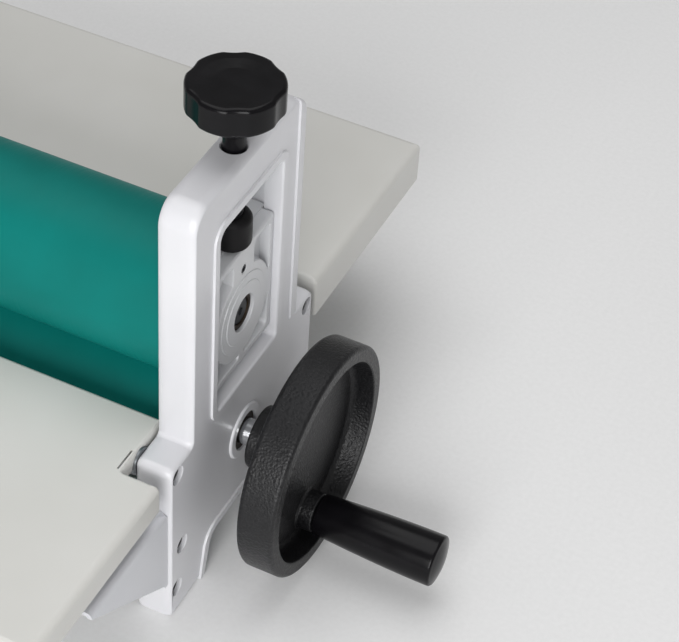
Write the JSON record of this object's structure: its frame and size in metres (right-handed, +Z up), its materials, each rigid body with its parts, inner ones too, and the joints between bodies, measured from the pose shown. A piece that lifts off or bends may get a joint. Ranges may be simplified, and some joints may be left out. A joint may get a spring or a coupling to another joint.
{
  "type": "hand-cranked roller press",
  "caption": "Tabletop roller press: two rubber rollers between cast side frames, screw knobs above, feed tables and a dished handwheel with a revolving grip.",
  "frame": {"origin": "centre of the bounding box on the plane the feet stand on", "axes": "+X along the rollers towards the handwheel, +Y from the front (feed) table to the rear table, +Z up"},
  "size_m": [0.6834, 0.463, 0.322],
  "materials": {
    "frame_paint": "semi-gloss powder coat on aluminium castings",
    "block_paint": "semi-gloss powder coat on small castings",
    "table_paint": "fine satin powder coat on sheet steel",
    "bracket_paint": "semi-gloss powder coat on sheet steel",
    "roller_rubber": "ground silicone rubber",
    "turned_steel": "ground and polished",
    "plain_steel": "zinc plated",
    "screw_steel": "black oxide",
    "bush_bronze": "oil-filled sintered bronze",
    "wheel_coat": "wrinkle finish",
    "knob_plastic": "moulded, glossy",
    "pad_rubber": "moulded"
  },
  "bodies": {
    "frame": {"side_frame_right": "frame_paint", "side_frame_left": "frame_paint", "front_table": "table_paint", "rear_table": "table_paint", "front_bracket_right": "bracket_paint", "front_bracket_left": "bracket_paint", "rear_bracket_right": "bracket_paint", "rear_bracket_left": "bracket_paint", "table_rail_right": "plain_steel", "table_rail_left": "plain_steel", "front_tie_rod": "plain_steel", "rear_tie_rod": "plain_steel", "front_cross_beam": "plain_steel", "rear_cross_beam": "plain_steel", "frame_screws_right": "screw_steel", "frame_screws_left": "screw_steel", "bracket_screws_front": "screw_steel", "bracket_screws_rear": "screw_steel", "table_screws": "screw_steel", "lower_bush_right": "bush_bronze", "lower_bush_left": "bush_bronze", "thread_bush_right": "plain_steel", "thread_bush_left": "plain_steel"},
    "lower_roller": {"lower_roller_cover": "roller_rubber", "lower_roller_tube": "plain_steel", "lower_roller_ends": "plain_steel", "lower_roller_shaft": "turned_steel", "handwheel": "wheel_coat", "wheel_key": "plain_steel", "wheel_screw": "screw_steel", "grip_bolt": "plain_steel"},
    "grip": {"hand_grip": "knob_plastic"},
    "carriage": {"bearing_block_right": "block_paint", "bearing_block_left": "block_paint", "upper_bush_right": "bush_bronze", "upper_bush_left": "bush_bronze", "pressure_pad_right": "pad_rubber", "pressure_pad_left": "pad_rubber", "pad_set_screw_right": "screw_steel", "pad_set_screw_left": "screw_steel"},
    "upper_roller": {"upper_roller_cover": "roller_rubber", "upper_roller_tube": "plain_steel", "upper_roller_ends": "plain_steel", "upper_roller_shaft": "screw_steel"},
    "right_screw": {"pressure_screw_right": "screw_steel", "knob_right": "knob_plastic"},
    "left_screw": {"pressure_screw_left": "screw_steel", "knob_left": "knob_plastic"}
  },
  "joints": [
    {"name": "wheel_turn", "type": "hinge", "parent": "frame", "child": "lower_roller", "pos_m": [-0.0569, -0.0075, 0.078], "axis": [1, 0, 0], "continuous": true},
    {"name": "grip_spin", "type": "hinge", "parent": "lower_roller", "child": "grip", "pos_m": [0.2631, -0.00588, 0.03153], "axis": [1, 0, 0], "continuous": true},
    {"name": "nip_lift", "type": "slide", "parent": "frame", "child": "carriage", "axis": [0, 0, 1], "range_m": [0, 0.0105]},
    {"name": "upper_roller_turn", "type": "hinge", "parent": "carriage", "child": "upper_roller", "pos_m": [-0.0569, -0.0075, 0.1683], "axis": [1, 0, 0], "continuous": true},
    {"name": "right_knob_turn", "type": "hinge", "parent": "carriage", "child": "right_screw", "pos_m": [0.2021, -0.0075, 0.322], "axis": [0, 0, 1], "range_deg": [0, 2160]},
    {"name": "left_knob_turn", "type": "hinge", "parent": "carriage", "child": "left_screw", "pos_m": [-0.3159, -0.0075, 0.322], "axis": [0, 0, 1], "range_deg": [0, 2160]}
  ],
  "couplings": [
    {"joint": "right_knob_turn", "follows": "nip_lift", "rad_per_m": 3590.4},
    {"joint": "left_knob_turn", "follows": "nip_lift", "rad_per_m": 3590.4},
    {"joint": "upper_roller_turn", "follows": "wheel_turn", "ratio": -1}
  ]
}
